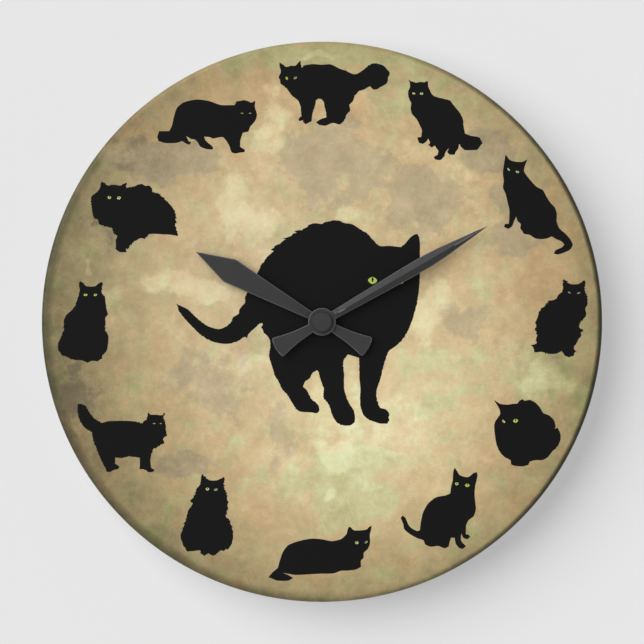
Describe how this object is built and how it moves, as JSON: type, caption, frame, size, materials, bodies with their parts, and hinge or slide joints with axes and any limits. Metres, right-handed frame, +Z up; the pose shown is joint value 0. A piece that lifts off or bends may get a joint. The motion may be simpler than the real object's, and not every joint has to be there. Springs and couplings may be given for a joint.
{
  "type": "wall clock",
  "caption": "Round frameless wall clock: printed acrylic dial, black cat silhouettes over a moon, two hands with flared tails and a battery quartz movement behind.",
  "frame": {"origin": "on the hand axis, in the wall plane, at the middle of the movement's back", "axes": "+X to the right as seen from the front, +Y from the face into the wall, +Z up towards twelve o'clock"},
  "size_m": [0.273, 0.0325, 0.273],
  "materials": {
    "acrylic": "white cast acrylic sheet, polished, with a rounded front edge",
    "printed_film": "printed film with a satin varnish: a mottled full moon in tan, cream and olive with black cat silhouettes",
    "black_plastic": "moulded ABS with a fine spark texture",
    "inner_plastic": "natural moulded acetal",
    "gear_plastic": "natural moulded acetal gears",
    "zinc_steel": "zinc-plated pressed steel",
    "nickel": "nickel-plated spring steel",
    "brass": "turned brass",
    "magnet": "bonded ferrite",
    "enamelled_wire": "enamelled copper wire, closely wound",
    "rubber": "moulded rubber",
    "board": "glass-fibre circuit board with a green mask",
    "cell_wrap": "shrink-wrapped steel cell",
    "hand_paint": "charcoal satin paint on stamped aluminium"
  },
  "bodies": {
    "clock_body": {"dial_plate": "acrylic", "face_print": "printed_film", "rear_case": "black_plastic", "front_case": "black_plastic", "train_plate": "inner_plastic", "hanger_strap": "zinc_steel", "rubber_gasket": "rubber", "threaded_bushing": "brass", "dial_washer": "brass", "dial_nut": "brass", "stator": "zinc_steel", "coil_core": "zinc_steel", "coil_bobbin": "inner_plastic", "coil_winding": "enamelled_wire", "circuit_board": "board", "driver_chip": "black_plastic", "quartz_crystal": "nickel", "contact_negative": "nickel", "contact_positive": "nickel"},
    "minute_set": {"minute_arbor": "brass", "minute_hand": "hand_paint", "cap_nut": "hand_paint", "centre_wheel": "gear_plastic"},
    "hour_set": {"hour_wheel": "gear_plastic", "hour_hand": "hand_paint"},
    "minute_wheel_body": {"minute_wheel": "gear_plastic"},
    "third_set": {"third_wheel": "gear_plastic"},
    "seconds_set": {"seconds_wheel": "gear_plastic"},
    "intermediate_set": {"intermediate_wheel": "gear_plastic"},
    "rotor_set": {"rotor_pinion": "gear_plastic", "rotor_magnet": "magnet"},
    "setting_set": {"setting_stem": "gear_plastic", "setting_knob": "black_plastic"},
    "cell_body": {"battery_cell": "cell_wrap"}
  },
  "joints": [
    {"name": "minute_hand_turn", "type": "hinge", "parent": "clock_body", "child": "minute_set", "pos_m": [0, 0, 0], "axis": [0, 1, 0], "continuous": true},
    {"name": "hour_hand_turn", "type": "hinge", "parent": "clock_body", "child": "hour_set", "pos_m": [0, 0, 0], "axis": [0, 1, 0], "continuous": true},
    {"name": "minute_wheel_turn", "type": "hinge", "parent": "clock_body", "child": "minute_wheel_body", "pos_m": [0.0096, 0, 0], "axis": [0, 1, 0], "continuous": true},
    {"name": "third_wheel_turn", "type": "hinge", "parent": "clock_body", "child": "third_set", "pos_m": [-0.0115, 0, 0.00419], "axis": [0, 1, 0], "continuous": true},
    {"name": "seconds_wheel_turn", "type": "hinge", "parent": "clock_body", "child": "seconds_set", "pos_m": [0, 0, 0], "axis": [0, 1, 0], "continuous": true},
    {"name": "intermediate_wheel_turn", "type": "hinge", "parent": "clock_body", "child": "intermediate_set", "pos_m": [0.00849, 0, 0.00849], "axis": [0, 1, 0], "continuous": true},
    {"name": "rotor_turn", "type": "hinge", "parent": "clock_body", "child": "rotor_set", "pos_m": [0.01599, 0, 0.01478], "axis": [0, 1, 0], "continuous": true},
    {"name": "setting_knob_turn", "type": "hinge", "parent": "clock_body", "child": "setting_set", "pos_m": [0.0192, 0, 0], "axis": [0, 1, 0], "continuous": true},
    {"name": "cell_slide", "type": "slide", "parent": "clock_body", "child": "cell_body", "axis": [0, 1, 0], "range_m": [0, 0.02]}
  ],
  "couplings": [
    {"joint": "hour_hand_turn", "follows": "minute_hand_turn", "ratio": 0.083333},
    {"joint": "minute_wheel_turn", "follows": "minute_hand_turn", "ratio": -0.33333},
    {"joint": "setting_knob_turn", "follows": "minute_hand_turn", "ratio": 1},
    {"joint": "third_wheel_turn", "follows": "minute_hand_turn", "ratio": -8},
    {"joint": "seconds_wheel_turn", "follows": "minute_hand_turn", "ratio": 60},
    {"joint": "intermediate_wheel_turn", "follows": "minute_hand_turn", "ratio": -300},
    {"joint": "rotor_turn", "follows": "minute_hand_turn", "ratio": 1800}
  ]
}
